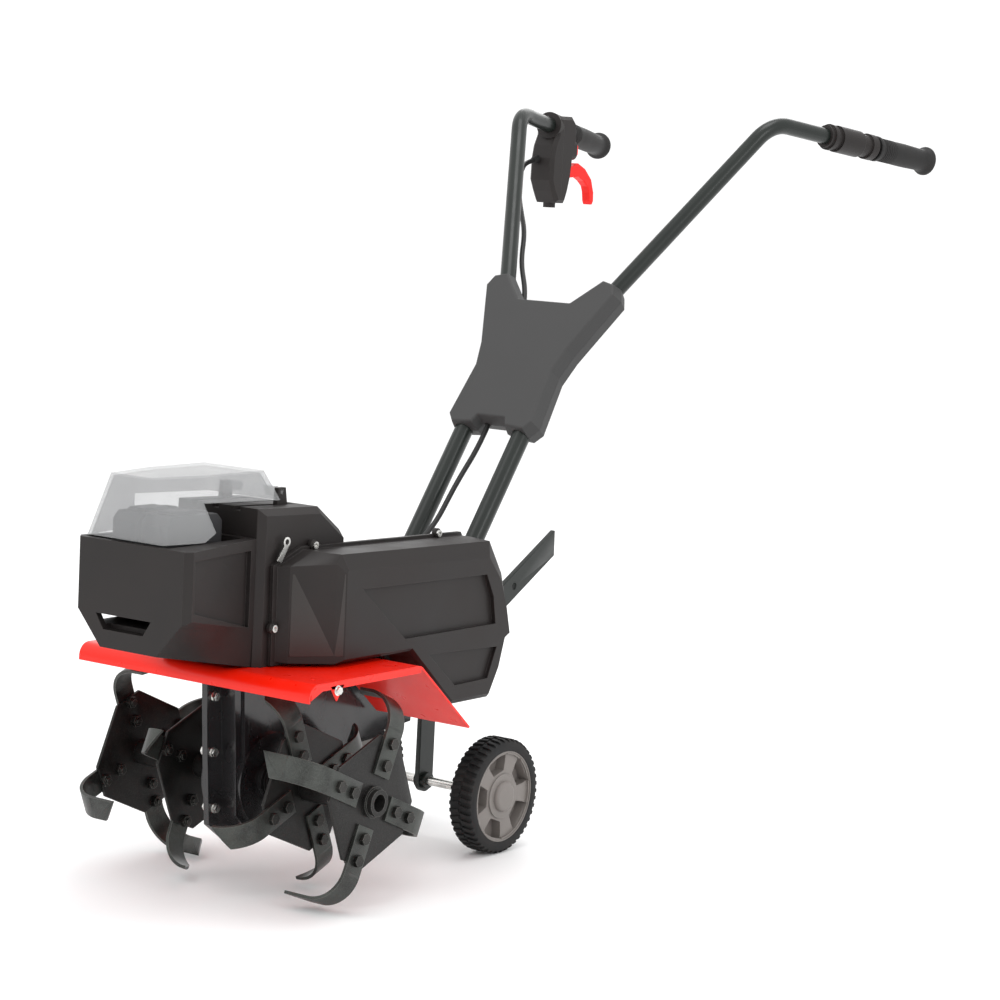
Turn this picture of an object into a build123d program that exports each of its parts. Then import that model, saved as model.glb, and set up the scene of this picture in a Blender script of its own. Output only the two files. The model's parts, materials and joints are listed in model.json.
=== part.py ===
from build123d import *
from math import atan2, cos, degrees, pi, radians, sin, tan
import os

# Battery garden tiller, in millimetres. +Z up, -Y the direction of travel,
# +X the machine's left side (the belt side). X = 0 is the seam of the chain
# case, Z = 0 the ground, Y = 0 the middle of the overall length.

# ---- driving dimensions ---------------------------------------------------
sheet = 4.0                    # thickness of tine plates, blades and case flanges
wall = 3.0                     # moulded plastic wall
shaft_gap = 0.05               # running clearance, radial

tine_y, tine_z = -435.0, 132.0          # tine shaft
tine_reach = 130.0                      # radius of the blade tips
blade_width = 30.0
outer_plate_x, inner_plate_x = 186.0, 87.0    # outboard face of each plate
tube_outer_r, tube_inner_r = 16.0, 10.0
end_socket_r, end_socket = 10.6, 22.0   # open end of each tine tube
input_y, input_z = -193.0, 306.0        # shaft of the large pulley
motor_y, motor_z = -425.0, 393.0
pulley_x, pulley_width = 88.0, 16.0
large_pulley_r, small_pulley_r = 55.0, 20.0
tine_sprocket_r, input_sprocket_r = 42.0, 17.0
case_half, case_front_half = 26.0, 31.0

wheel_y, wheel_z = -85.0, 75.0
wheel_outer_x, wheel_width = 129.0, 36.0
rim_r, axle_r = 58.5, 6.0
post_pivot_z = 240.0
stake_pivot = (-48.0, 250.0)

deck_top, deck_sheet, deck_half = 284.0, 2.5, 182.0
deck_front, deck_break = -554.0, -345.0
deck_flap = (-241.0, 196.0)

box_front, housing_front, housing_rear = -663.0, -517.0, -365.0
box_half, housing_half = 90.0, 70.0
ledge_z, housing_top = 437.0, 472.0
plate_x, cover_x, cover_face_x = 70.0, 73.0, 131.0

lower_tube_r, lower_tube_bore = 12.5, 11.1
upper_tube_r, upper_tube_bore = 11.0, 9.5
handle_half = 47.0
lean_y, lean_z, lean_slope = -30.9, 450.0, 0.717     # axis of the lower tubes
lean = degrees(atan2(lean_slope, 1.0))
grip_corner = (211.2, 346.1, 957.4)
grip_end = (282.3, 653.9, 917.1)
lid_hinge = (-438.0, 484.0)
lid_centre = -15.0

os.makedirs("parts", exist_ok=True)


def save(name, label):
    """Label a finished sub-part and write it as a STEP file."""
    name.part.label = label
    export_step(name.part, f"parts/{label}.step")


def tube_y(z):
    """Y of the lower handle tubes' axis at height z."""
    return lean_y + lean_slope * (z - lean_z)


def disc(y, z, r, x0, x1, mode=Mode.ADD):
    """A cylinder along X between x0 and x1."""
    with BuildSketch(Plane.YZ.offset(x0)) as profile:
        with Locations((y, z)):
            Circle(r)
    extrude(profile.sketch, amount=x1 - x0, mode=mode)


def slab(points, x0, x1, mode=Mode.ADD):
    """A (Y, Z) polygon extruded along X between x0 and x1."""
    with BuildSketch(Plane.YZ.offset(x0)) as profile:
        Polygon(*points, align=None)
    extrude(profile.sketch, amount=x1 - x0, mode=mode)


def block(low, high, mode=Mode.ADD):
    """A box between two corners."""
    size = [b - a for a, b in zip(low, high)]
    centre = [(a + b) / 2 for a, b in zip(low, high)]
    with Locations(tuple(centre)):
        Box(*size, mode=mode)


def radial_plane(angle, y=tine_y, z=tine_z):
    """Plane through an X axis: local x is radial at the angle, local y is +X."""
    a = radians(angle)
    return Plane(origin=(0, y, z), x_dir=(0, cos(a), sin(a)), z_dir=(0, sin(a), -cos(a)))


# ---- chain case: two pressed halves bolted together at X = 0 ----------------
case_body = [
    (-505, 268), (-498, 178), (-493, 96), (-473, 76), (-403, 76), (-353, 104), (-273, 158),
    (-158, 168), (-155, 200), (-128, 262), (-128, 318), (-168, 348), (-218, 350), (-353, 268),
]
case_flange = [
    (-530, 276), (-524, 178), (-516, 84), (-486, 62), (-396, 60), (-344, 90), (-268, 144),
    (-146, 152), (-141, 198), (-114, 258), (-114, 324), (-162, 367), (-224, 369), (-346, 290), (-358, 278),
]
case_room = [
    (-499, 262), (-489, 100), (-472, 82), (-406, 82), (-356, 110), (-276, 166),
    (-176, 180), (-150, 262), (-152, 330), (-176, 342), (-216, 342), (-351, 262),
]
flange_holes = [
    (-516, 241), (-515, 173), (-508, 104), (-441, 68), (-310, 121), (-180, 159),
    (-121, 290), (-190, 358), (-303, 309),
]
handle_holes = [(tube_y(293.6), 293.6), (tube_y(251.8), 251.8)]
bead = [(-490, 258), (-485, 178), (-479, 100), (-471, 100), (-477, 178), (-482, 258)]


def case_half_shell(side):
    """One half of the chain case, on the side of X given by the sign."""
    slab(case_flange, 0.0, side * sheet)
    slab(case_body, side * sheet, side * case_half)
    disc(tine_y, tine_z, 58.0, side * case_half, side * case_front_half)
    disc(tine_y, tine_z, 26.0, side * case_front_half, side * (case_front_half + 5))
    disc(input_y, input_z, 30.0, side * case_half, side * (case_half + 4))
    slab(bead, side * case_half, side * (case_half + 3))
    slab(case_room, 0.0, side * (case_half - 3), mode=Mode.SUBTRACT)
    disc(tine_y, tine_z, 21.0, 0.0, side * (case_front_half + 5), mode=Mode.SUBTRACT)
    disc(input_y, input_z, 16.0, 0.0, side * (case_half + 4), mode=Mode.SUBTRACT)
    for y, z in flange_holes:
        disc(y, z, 3.2, 0.0, side * sheet, mode=Mode.SUBTRACT)
    for y, z in handle_holes:
        disc(y, z, 4.1, 0.0, side * case_half, mode=Mode.SUBTRACT)


with BuildPart() as gearbox_left:
    case_half_shell(1)
save(gearbox_left, "gearbox_left")

with BuildPart() as gearbox_right:
    case_half_shell(-1)
save(gearbox_right, "gearbox_right")

# Hex bolts with washers and nuts through the case flanges.
with BuildPart() as frame_bolts:
    for y, z in flange_holes:
        disc(y, z, 3.1, -sheet - 5, sheet + 6)
        disc(y, z, 6.0, sheet, sheet + 1.5)
        disc(y, z, 6.0, -sheet - 1.5, -sheet)
        for face, height in ((sheet + 1.5, 4.5), (-sheet - 6.5, 5.0)):
            with BuildSketch(Plane.YZ.offset(face)):
                with Locations((y, z)):
                    RegularPolygon(radius=5.4, side_count=6)
            extrude(amount=height)
save(frame_bolts, "frame_bolts")

with BuildPart() as gearbox_bearings:
    for side in (1, -1):
        outer_ends = ((tine_y, tine_z, 20.98, 12.52, 24.0, 34.0), (input_y, input_z, 15.98, 8.52, 16.0, 27.0))
        for y, z, r_out, r_in, x0, x1 in outer_ends:
            disc(y, z, r_out, side * x0, side * x1)
            disc(y, z, r_in, side * x0, side * x1, mode=Mode.SUBTRACT)
save(gearbox_bearings, "gearbox_bearings")

with BuildPart() as output_seals:
    for side in (1, -1):
        disc(tine_y, tine_z, 20.9, side * 34.2, side * 37.0)
        disc(tine_y, tine_z, 17.0, side * 37.0, side * 38.5)
        disc(tine_y, tine_z, 12.6, side * 34.2, side * 38.5, mode=Mode.SUBTRACT)
save(output_seals, "output_seals")

# ---- tine shaft, hubs, plates and blades --------------------------------------
tube_start, tube_end = 40.0, 198.0
shaft_half = tube_end - end_socket
with BuildPart() as tine_shaft:
    disc(tine_y, tine_z, 12.5 - 0.03, -40.0, 40.0)
    for side in (1, -1):
        disc(tine_y, tine_z, tube_inner_r, side * 40.0, side * shaft_half)
save(tine_shaft, "tine_shaft")

for side, name in ((1, "left"), (-1, "right")):
    with BuildPart() as tine_tube:
        disc(tine_y, tine_z, tube_outer_r, side * tube_start, side * tube_end)
        disc(tine_y, tine_z, tube_outer_r + 3, side * outer_plate_x, side * (outer_plate_x + 5))
        disc(tine_y, tine_z, tube_inner_r, side * tube_start, side * tube_end, mode=Mode.SUBTRACT)
        disc(tine_y, tine_z, end_socket_r, side * shaft_half, side * tube_end, mode=Mode.SUBTRACT)
    save(tine_tube, f"tine_tube_{name}")

bolt_radii = (45.0, 72.0)
arm_reach, arm_half = 77.0, 21.0
outer_angle, inner_angle = 156.5, 112.0
right_shift = 45.0
tine_sets = []
for side, name in ((1, "left"), (-1, "right")):
    turn = 0.0 if side > 0 else right_shift
    tine_sets.append((f"outer_{name}", side, outer_plate_x, outer_angle + turn, 78.0))
    tine_sets.append((f"inner_{name}", side, inner_plate_x, inner_angle + turn, 44.0))


def bolt_spots(angle):
    """Centres of the eight blade bolts of one plate, as (Y, Z)."""
    spots = []
    for arm in range(4):
        a = radians(angle + 90 * arm)
        for r in bolt_radii:
            spots.append((tine_y + r * cos(a), tine_z + r * sin(a)))
    return spots


def octagon(angle):
    """Outline of a tine plate with one short side across each arm, as (Y, Z)."""
    points = []
    for arm in range(4):
        a = radians(angle + 90 * arm)
        for t in (-arm_half, arm_half):
            y = tine_y + arm_reach * cos(a) - t * sin(a)
            z = tine_z + arm_reach * sin(a) + t * cos(a)
            points.append((y, z))
    return points


def blade(side, face, angle, inward):
    """One strip blade: flat on the plate, then a quarter bend towards X = 0."""
    bend = 42.0
    start, straight = 31.0, tine_reach - bend
    x0, x1 = side * face, side * (face + sheet)
    tip = side * (face + sheet - inward)
    tangent_x = side * (face + sheet - bend)
    middle = sin(radians(45))
    with BuildSketch(radial_plane(angle)) as profile:
        with BuildLine():
            Line((start, x0), (start, x1))
            Line((start, x1), (straight, x1))
            ThreePointArc(
                (straight, x1),
                (straight + bend * middle, tangent_x + side * bend * middle),
                (tine_reach, tangent_x),
            )
            Line((tine_reach, tangent_x), (tine_reach, tip))
            Line((tine_reach, tip), (tine_reach - sheet, tip))
            Line((tine_reach - sheet, tip), (tine_reach - sheet, tangent_x))
            ThreePointArc(
                (tine_reach - sheet, tangent_x),
                (straight + (bend - sheet) * middle, tangent_x + side * (bend - sheet) * middle),
                (straight, x0),
            )
            Line((straight, x0), (start, x0))
        make_face()
    extrude(profile.sketch, amount=blade_width / 2, both=True)


def cut_tip(side, face, angle, inward):
    """Cut the blade's end obliquely, leaving a point on one edge."""
    tip = side * (face + sheet - inward)
    a = radians(angle)
    across = Plane(origin=(0, tine_y + 118 * cos(a), tine_z + 118 * sin(a)),
                   x_dir=(1, 0, 0), z_dir=(0, cos(a), sin(a)))
    edge = blade_width / 2 + 1
    with BuildSketch(across) as profile:
        Polygon((tip - side, -edge), (tip - side, edge), (tip + side * 20, -edge), align=None)
    extrude(profile.sketch, amount=16, mode=Mode.SUBTRACT)


for name, side, face, angle, inward in tine_sets:
    with BuildPart() as tine_plate:
        slab(octagon(angle), side * (face - sheet), side * face)
        disc(tine_y, tine_z, tube_outer_r, side * (face - sheet), side * face, mode=Mode.SUBTRACT)
        for y, z in bolt_spots(angle):
            disc(y, z, 4.2, side * (face - sheet), side * face, mode=Mode.SUBTRACT)
    save(tine_plate, f"tine_plate_{name}")

    with BuildPart() as tine_blades:
        for arm in range(4):
            blade(side, face, angle + 90 * arm, inward)
            cut_tip(side, face, angle + 90 * arm, inward)
        for y, z in bolt_spots(angle):
            disc(y, z, 4.2, side * (face - 1), side * (face + sheet + 1), mode=Mode.SUBTRACT)
    save(tine_blades, f"tine_blades_{name}")

with BuildPart() as tine_bolts:
    for name, side, face, angle, inward in tine_sets:
        head, nut = face + sheet, face - sheet
        for y, z in bolt_spots(angle):
            disc(y, z, 4.1, side * (nut - 9), side * (head + 1))
            for x0, height in ((head, 5.5), (nut - 6, 6.0)):
                with BuildSketch(Plane.YZ.offset(side * x0)):
                    with Locations((y, z)):
                        RegularPolygon(radius=7.6, side_count=6)
                extrude(amount=side * height)
save(tine_bolts, "tine_bolts")


def sprocket(y, z, tip_r, teeth, width):
    """A toothed disc centred on X = 0."""
    disc(y, z, tip_r - 5, -width / 2, width / 2)
    for tooth in range(teeth):
        with BuildSketch(radial_plane(360 * tooth / teeth, y, z)) as profile:
            Polygon((tip_r - 7, -width / 2), (tip_r, -width / 4), (tip_r, width / 4),
                    (tip_r - 7, width / 2), align=None)
        extrude(profile.sketch, amount=2.2, both=True)


with BuildPart() as tine_sprocket:
    sprocket(tine_y, tine_z, tine_sprocket_r, 25, 7)
    disc(tine_y, tine_z, 20.0, -16.0, 16.0)
    disc(tine_y, tine_z, 12.5, -16.0, 16.0, mode=Mode.SUBTRACT)
save(tine_sprocket, "tine_sprocket")

# ---- input shaft with its own small sprocket, chain and belt drive -----------------
with BuildPart() as input_shaft:
    disc(input_y, input_z, 8.5 - 0.03, -27.0, 101.0)
    sprocket(input_y, input_z, input_sprocket_r, 10, 7)
save(input_shaft, "input_shaft")


def loop(circles, gap, thick, x0, x1):
    """A closed band round two circles, outside them by the gap."""
    for mode, extra in ((Mode.ADD, gap + thick), (Mode.SUBTRACT, gap)):
        with BuildSketch(Plane.YZ.offset(x0)) as profile:
            for y, z, r in circles:
                with Locations((y, z)):
                    Circle(r + extra)
            make_hull()
        extrude(profile.sketch, amount=x1 - x0, mode=mode)


with BuildPart() as drive_chain:
    chain_circles = [(tine_y, tine_z, tine_sprocket_r), (input_y, input_z, input_sprocket_r)]
    loop(chain_circles, 0.6, 7.0, -5.0, 5.0)
save(drive_chain, "drive_chain")

belt_x0, belt_x1 = pulley_x - 6.0, pulley_x + 6.0
with BuildPart() as drive_belt:
    belt_circles = [(input_y, input_z, large_pulley_r - 4), (motor_y, motor_z, small_pulley_r - 4)]
    loop(belt_circles, 0.4, 5.0, belt_x0, belt_x1)
save(drive_belt, "drive_belt")


def pulley(y, z, r, bore):
    """A belt pulley with two rims and a sunk belt face."""
    half = pulley_width / 2
    disc(y, z, r - 4, pulley_x - half, pulley_x + half)
    disc(y, z, r, pulley_x - half, pulley_x - half + 1.6)
    disc(y, z, r, pulley_x + half - 1.6, pulley_x + half)
    disc(y, z, bore, pulley_x - half, pulley_x + half, mode=Mode.SUBTRACT)


with BuildPart() as input_pulley:
    pulley(input_y, input_z, large_pulley_r, 8.5)
    for spoke in range(5):
        a = radians(72 * spoke)
        disc(input_y + 34 * cos(a), input_z + 34 * sin(a), 11, pulley_x - 9, pulley_x + 9, mode=Mode.SUBTRACT)
save(input_pulley, "input_pulley")

with BuildPart() as motor_pulley:
    pulley(motor_y, motor_z, small_pulley_r, 5.0)
save(motor_pulley, "motor_pulley")

motor_x0, motor_x1 = -62.0, 52.0
with BuildPart() as motor_stator:
    disc(motor_y, motor_z, 50.0, motor_x0, motor_x1)
    disc(motor_y, motor_z, 32.0, motor_x0 + 6, motor_x1 - 6, mode=Mode.SUBTRACT)
    disc(motor_y, motor_z, 5.0 + shaft_gap, motor_x1 - 6, motor_x1, mode=Mode.SUBTRACT)
    for fin in range(24):
        a = radians(15 * fin)
        disc(motor_y + 51 * cos(a), motor_z + 51 * sin(a), 2.0, motor_x0 + 10, motor_x1 - 10, mode=Mode.SUBTRACT)
save(motor_stator, "motor_stator")

with BuildPart() as motor_rotor:
    disc(motor_y, motor_z, 31.0, motor_x0 + 10, motor_x1 - 10)
    disc(motor_y, motor_z, 5.0, motor_x0 + 8, pulley_x + 9)
save(motor_rotor, "motor_rotor")

# ---- deck: one folded sheet with a front lip and a sloping rear flap -----------------
slot_half = 36.0
with BuildPart() as deck:
    with BuildSketch(Plane.YZ.offset(-deck_half)) as deck_profile:
        with BuildLine():
            FilletPolyline(
                (deck_front, 263), (deck_front, deck_top), (deck_break, deck_top), deck_flap,
                radius=[16, 12],
            )
            offset(amount=deck_sheet, side=Side.RIGHT)
        make_face()
    extrude(amount=2 * deck_half)
    for side in (1, -1):
        slab([(deck_front + 4, 266), (deck_front + 24, 275), (deck_break, 275), (deck_break, 282.5),
              (deck_front + 16, 282.5), (deck_front + 4, 276)], side * (deck_half - deck_sheet), side * deck_half)
    block((-slot_half, -372, 150), (slot_half, -200, 300), mode=Mode.SUBTRACT)
    block((-housing_half + 12, -480, 270), (housing_half - 12, -380, 300), mode=Mode.SUBTRACT)
    for x in (-160, 160):
        for y in (-520, -370):
            with Locations((x, y, deck_top)):
                Cylinder(2.5, 30, mode=Mode.SUBTRACT)
save(deck, "deck")

# ---- battery box under the lid, and the motor housing behind it --------------------------
box_front_outline = [
    (-90, 435), (-90, 357), (-80, 350), (-44, 310), (44, 310), (80, 350), (90, 357), (90, 435),
]
box_rear_outline = [
    (-62, 437), (-62, 330), (-61, 316), (-60, 284), (60, 284), (61, 316), (62, 330), (62, 437),
]
flank_angle = atan2(box_half - 62, housing_front - box_front)
flank_window = [(12, 424), (138, 424), (138, 333), (14, 364)]     # along the flank, height
bay_front = [(-80, 440), (-80, 336), (50, 336), (50, 440)]
bay_rear = [(-59, 440), (-59, 336), (50, 336), (50, 440)]
with BuildPart() as battery_box:
    for y, outline in ((box_front, box_front_outline), (housing_front, box_rear_outline)):
        with BuildSketch(Plane.XZ.offset(-y)):
            Polygon(*outline, align=None)
    loft(ruled=True)
    corners = battery_box.edges().filter_by(Axis.Z).group_by(Axis.Y)[0]
    chamfer(corners, 9)
    for y, outline in ((box_front + 8, bay_front), (housing_front - 6, bay_rear)):
        with BuildSketch(Plane.XZ.offset(-y)):
            Polygon(*outline, align=None)
    loft(ruled=True, mode=Mode.SUBTRACT)
    # carrying recess under the nose
    with BuildSketch(Plane.XZ.offset(-box_front)):
        Polygon((-52, 349), (34, 349), (22, 331), (-40, 331), align=None)
    extrude(amount=-16, mode=Mode.SUBTRACT)
    # sunk window on both slanting flanks, shallower where the wall is thin
    flank_lean, flank_run = sin(flank_angle), cos(flank_angle)
    for side, depth in ((1, 6.0), (-1, 1.8)):
        flank = Plane(origin=(side * box_half, box_front, 0), x_dir=(-flank_lean, side * flank_run, 0),
                      z_dir=(side * flank_run, flank_lean, 0))
        with BuildSketch(flank.offset(1)) as window:
            Polygon(*[(side * s, z) for s, z in flank_window], align=None)
        extrude(window.sketch, amount=-(depth + 1), mode=Mode.SUBTRACT)
save(battery_box, "battery_box")

housing_profile = [
    (housing_front, deck_top), (housing_front, housing_top), (-408, housing_top - 4),
    (housing_rear, ledge_z), (housing_rear, deck_top),
]
housing_room = [
    (housing_front + 9, deck_top), (housing_front + 9, housing_top - 9), (-410, housing_top - 11),
    (housing_rear - wall, ledge_z - 6), (housing_rear - wall, deck_top),
]
cable_entry_z = 376.0
cable_r = 3.5
with BuildPart() as motor_housing:
    slab(housing_profile, -housing_half, housing_half)
    top_edges = motor_housing.edges().filter_by(lambda e: abs(e.center().X) > housing_half - 0.1)
    chamfer(top_edges.filter_by(lambda e: e.center().Z > housing_top - 30 and e.length > 50), 8)
    chamfer(motor_housing.edges().filter_by(Axis.Z).group_by(Axis.Y)[0], 8)
    slab(housing_room, -housing_half + wall, housing_half - wall, mode=Mode.SUBTRACT)
    for groove_x in (-38, -4, 30):
        with BuildSketch(Plane.YZ.offset(groove_x - 5)):
            Polygon((housing_front - 1, housing_top - 5), (housing_front - 1, housing_top + 5),
                    (-405, housing_top + 5), (-418, housing_top - 5), align=None)
        extrude(amount=10, mode=Mode.SUBTRACT)
    disc(motor_y, motor_z, 12.0, housing_half - wall - 1, housing_half + 1, mode=Mode.SUBTRACT)
    with BuildSketch(Plane.XZ.offset(-(housing_rear - wall - 1))):
        with Locations((2, cable_entry_z)):
            Circle(cable_r + 0.3)
    extrude(amount=-(wall + 2), mode=Mode.SUBTRACT)
    for x0, x1 in ((-62, -55), (25, 32)):
        slab([(-447, 466), (-445, 489), (-432, 489), (-428, 466)], x0, x1)
        disc(lid_hinge[0], lid_hinge[1], 3.0 + shaft_gap, x0, x1, mode=Mode.SUBTRACT)
save(motor_housing, "motor_housing")

# ---- clear lid with its own hinge pins -------------------------------------------------
lid_base_z, lid_top_z = 437.6, 512.0
lid_base = (lid_centre - 69, lid_centre + 69, -658.0, -432.0)
lid_top = (lid_centre - 47, lid_centre + 47, -652.0, -474.0)
facet = (Vector(35, -655, 500), Vector(59, -658, 438), Vector(69, -608, 438))   # one cut front corner


def lid_form(inset):
    """The lid's outer form with its two cut corners, shrunk by the inset on every side but the bottom."""
    sections = []
    for z, (x0, x1, y0, y1) in ((lid_base_z, lid_base), (lid_top_z - inset, lid_top)):
        with BuildSketch(Plane.XY.offset(z)) as profile:
            Polygon((x0 + inset, y0 + inset), (x1 - inset, y0 + inset),
                    (x1 - inset, y1 - inset), (x0 + inset, y1 - inset), align=None)
        sections.append(profile.sketch.face())
    loft(sections, ruled=True)
    for side in (1, -1):
        low, base, rear = (Vector(lid_centre + side * p.X, p.Y, p.Z) for p in facet)
        normal = (base - low).cross(rear - low).normalized()
        normal = normal if normal.Y < 0 else -normal
        cut = Plane(origin=low - normal * inset, z_dir=normal)
        split(bisect_by=cut, keep=Keep.BOTTOM)


with BuildPart() as lid_room:
    lid_form(wall)

with BuildPart() as lid:
    lid_form(0.0)
    add(lid_room.part, mode=Mode.SUBTRACT)
    slab([(-598, 430), (-598, 437.6), (-576, 447), (-588, 481), (-446, 476), (-420, 476), (-420, 430)],
         -120, 120, mode=Mode.SUBTRACT)
    for x0, x1 in ((-52, -36), (6, 22)):
        disc(lid_hinge[0], lid_hinge[1], 6.0, x0, x1)
        slab([(-459, 481), (-464, 492), (-438, 490), (-438, 478.5)], x0, x1)
    disc(lid_hinge[0], lid_hinge[1], 3.0, -61, -36)
    disc(lid_hinge[0], lid_hinge[1], 3.0, 6, 31)
save(lid, "lid")

pack_front, pack_rear, pack_low, pack_high = -636.0, -538.0, 342.0, 466.0
pack_half, pack_spread = 21.0, 22.5
for name, pack_x in (("left", lid_centre + pack_spread), ("right", lid_centre - pack_spread)):
    with BuildPart() as battery_pack:
        block((pack_x - pack_half, pack_front, pack_low + 26), (pack_x + pack_half, pack_rear, pack_high))
        chamfer(battery_pack.edges().filter_by(Axis.X).group_by(Axis.Z)[-1], 12)
        fillet(battery_pack.edges().filter_by(Axis.Z), 5)
        block((pack_x - 16, pack_front + 16, pack_low), (pack_x + 16, pack_rear - 16, pack_low + 26))
    save(battery_pack, f"battery_{name}")

# ---- belt drive's back plate and cover -------------------------------------------------------
flange_outline = [
    (-451, 424), (-136, 418), (-106, 372), (-90, 330), (-81, 286), (-92, 278), (-104, 243),
    (-124, 205), (-221, 205), (-293, 285.5), (-499, 285.5), (-501, 405),
]
body_outline = [
    (-449, 420), (-139, 414), (-109, 370), (-96, 328), (-87, 288), (-97, 281), (-108, 246),
    (-127, 211), (-217, 211), (-291, 290), (-493, 290), (-495, 403),
]
shoulder_outline = [
    (-446, 420), (-139, 414), (-109, 370), (-96, 327), (-87, 288), (-98, 281), (-109, 246),
    (-128, 211), (-216, 211), (-292, 289), (-485, 289), (-487, 405),
]
brow_outline = [
    (-434, 419), (-139, 412), (-110, 368), (-97, 326), (-88, 288), (-99, 282), (-110, 247),
    (-129, 211), (-214, 211), (-295, 288), (-440, 288), (-442, 408),
]
face_outline = [
    (-428, 400), (-146, 392), (-118, 360), (-104, 324), (-95, 291), (-105, 286), (-116, 249),
    (-134, 217), (-211, 217), (-298, 293), (-429, 293), (-430, 396),
]
shoulder_x, brow_x = 90.0, 124.0
cover_stations = [
    (cover_x, body_outline), (shoulder_x, shoulder_outline), (brow_x, brow_outline),
    (cover_face_x, face_outline),
]


def shrink(points, amount):
    """Points of an outline moved towards its middle by about the amount."""
    middle_y = sum(p[0] for p in points) / len(points)
    middle_z = 345.0
    moved = []
    for y, z in points:
        moved.append((y - amount * (1 if y > middle_y else -1), z - amount * (1 if z > middle_z else -1)))
    return moved


def cover_solid(inset, mode):
    """The cover's form through its stations, hollow side when inset is given."""
    for (x0, first), (x1, second) in zip(cover_stations, cover_stations[1:]):
        faces = []
        end = min(x1, cover_face_x - inset)
        for x, points in ((x0, first), (end, second)):
            with BuildSketch(Plane.YZ.offset(x)) as profile:
                Polygon(*shrink(points, inset), align=None)
            faces.append(profile.sketch.face())
        loft(faces, ruled=True, mode=mode)


cover_screws_at = [(-430, 424.5), (-187, 420), (-499.5, 331), (-160, 205.5), (-86, 308)]
input_hole_r = 13.0
with BuildPart() as belt_back_plate:
    slab(flange_outline, plate_x, cover_x)
    disc(motor_y, motor_z, 12.0, plate_x, cover_x, mode=Mode.SUBTRACT)
    disc(input_y, input_z, input_hole_r, plate_x, cover_x, mode=Mode.SUBTRACT)
save(belt_back_plate, "belt_back_plate")

with BuildPart() as belt_cover:
    slab(flange_outline, cover_x, cover_x + wall)
    for y, z in cover_screws_at:
        disc(y, z, 6.5, cover_x, cover_x + 5)
    cover_solid(0.0, Mode.ADD)
    cover_solid(wall, Mode.SUBTRACT)
    for points, backing, depth in (
        ([(-400, 375), (-150, 371), (-134, 342), (-127, 306), (-313, 306)],
         [(-404, 379), (-147, 375), (-130, 343), (-123, 302), (-315, 302)], 6),
        ([(-264, 281), (-122, 276), (-139, 237), (-208, 236)],
         [(-268, 285), (-119, 280), (-137, 233), (-210, 232)], 5),
    ):
        slab(backing, cover_face_x - depth - wall, cover_face_x - 1)
        slab(points, cover_face_x - depth, cover_face_x + 1, mode=Mode.SUBTRACT)
    for y, z in cover_screws_at:
        disc(y, z, 2.4, cover_x, cover_x + 5, mode=Mode.SUBTRACT)
save(belt_cover, "belt_cover")

with BuildPart() as cover_screws:
    for y, z in cover_screws_at:
        disc(y, z, 2.3, cover_x, cover_x + 6)
        disc(y, z, 4.6, cover_x + 5, cover_x + 8.5)
        with BuildSketch(Plane.YZ.offset(cover_x + 6.5)):
            with Locations((y, z)):
                RegularPolygon(radius=2.4, side_count=6)
        extrude(amount=2.1, mode=Mode.SUBTRACT)
save(cover_screws, "cover_screws")

# ---- rear bracket, wheel post, axle, wheels and drag stake ---------------------------------------
ear = 4.0
ear_x = case_half + 4.5
post_x0, post_x1 = -7.0, 0.0
stake_x0, stake_x1 = 5.0, 13.0
bracket_outline = [
    (-176, 236), (-176, 320), (-130, 330), (-30, 268), (-26, 240), (-40, 226), (-100, 226),
]
with BuildPart() as rear_bracket:
    for x0, x1 in ((-ear_x - ear, -ear_x), (ear_x, ear_x + ear)):
        slab(bracket_outline, x0, x1)
    for x0 in (-ear_x, ear_x):
        inner = case_half if x0 > 0 else -case_half
        for y, z in handle_holes:
            disc(y, z, 9.0, min(x0, inner), max(x0, inner))
    block((-ear_x, -108, 226), (ear_x, -102, 262))
    for x0 in (-ear_x - ear, ear_x):
        for y, z in handle_holes:
            disc(y, z, 4.1, x0 - 6, x0 + ear + 6, mode=Mode.SUBTRACT)
        for y, z in ((wheel_y, post_pivot_z), stake_pivot):
            disc(y, z, 5.0, x0, x0 + ear, mode=Mode.SUBTRACT)
save(rear_bracket, "rear_bracket")

with BuildPart() as pivot_pins:
    for y, z in ((wheel_y, post_pivot_z), stake_pivot):
        disc(y, z, 5.0, -ear_x - ear - 6, ear_x + ear + 6)
        disc(y, z, 8.5, ear_x + ear, ear_x + ear + 5)
        disc(y, z, 8.5, -ear_x - ear - 5, -ear_x - ear)
save(pivot_pins, "pivot_pins")

post_half = 15.0
with BuildPart() as wheel_post:
    slab([(wheel_y - post_half, wheel_z), (wheel_y + post_half, wheel_z),
          (wheel_y + post_half, post_pivot_z), (wheel_y - post_half, post_pivot_z)], post_x0, post_x1)
    for z in (wheel_z, post_pivot_z):
        disc(wheel_y, z, post_half, post_x0, post_x1)
    disc(wheel_y, wheel_z, 11.0, post_x0 - 5, post_x1 + 5)
    disc(wheel_y, post_pivot_z, 9.0, -ear_x + 0.3, stake_x0 - 0.5)
    disc(wheel_y, wheel_z, axle_r, post_x0 - 5, post_x1 + 5, mode=Mode.SUBTRACT)
    disc(wheel_y, post_pivot_z, 5.0 + shaft_gap, -ear_x, stake_x0, mode=Mode.SUBTRACT)
save(wheel_post, "wheel_post")

axle_half = wheel_outer_x - 14
with BuildPart() as wheel_axle:
    disc(wheel_y, wheel_z, axle_r, -axle_half, axle_half)
    for side in (1, -1):
        disc(wheel_y, wheel_z, 9.0, side * 84, side * 87)
save(wheel_axle, "wheel_axle")

lug_count, window_count, spoke_angle = 40, 5, -2.0
tyre_r, lug_depth = 75.0, 4.0


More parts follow.
